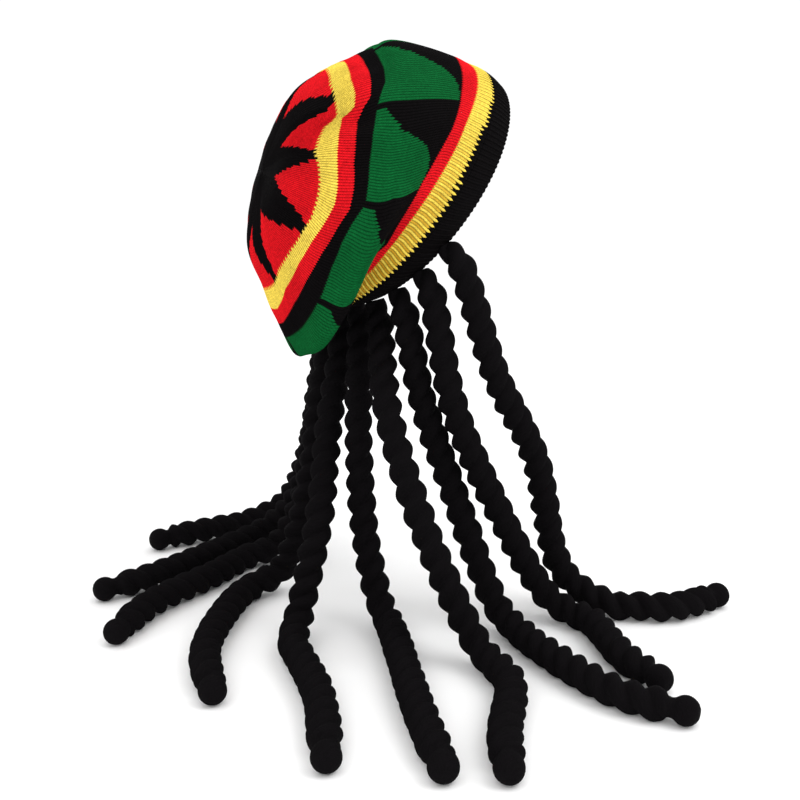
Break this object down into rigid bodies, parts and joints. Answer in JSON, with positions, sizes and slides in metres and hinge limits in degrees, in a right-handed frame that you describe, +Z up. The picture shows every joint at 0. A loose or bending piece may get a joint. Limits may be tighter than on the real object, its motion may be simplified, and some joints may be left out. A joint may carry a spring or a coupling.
{
  "type": "knitted rasta tam with dreadlocks",
  "caption": "Slouchy knitted tam with a ribbed band, striped bag and star crown, and thick two-ply twisted dreadlocks sewn round the back of its rim, fanned out on a surface.",
  "frame": {"origin": "middle of the head opening, in the plane of the rim's outer edge", "axes": "+Z up as worn, the wearer faces -Y, +X is the wearer's left"},
  "size_m": [0.5201, 0.4775, 0.4598],
  "materials": {
    "striped_knit": "matte acrylic knit, green with red, yellow and black rings and a black star",
    "black_rib_knit": "matte black ribbed acrylic knit",
    "black_lock_yarn": "matte black felted yarn, two plies twisted"
  },
  "bodies": {
    "root": {"crown": "striped_knit", "rim_band": "black_rib_knit", "lock_01": "black_lock_yarn", "lock_02": "black_lock_yarn", "lock_03": "black_lock_yarn", "lock_04": "black_lock_yarn", "lock_05": "black_lock_yarn", "lock_06": "black_lock_yarn", "lock_07": "black_lock_yarn", "lock_08": "black_lock_yarn", "lock_09": "black_lock_yarn", "lock_10": "black_lock_yarn"}
  },
  "joints": []
}
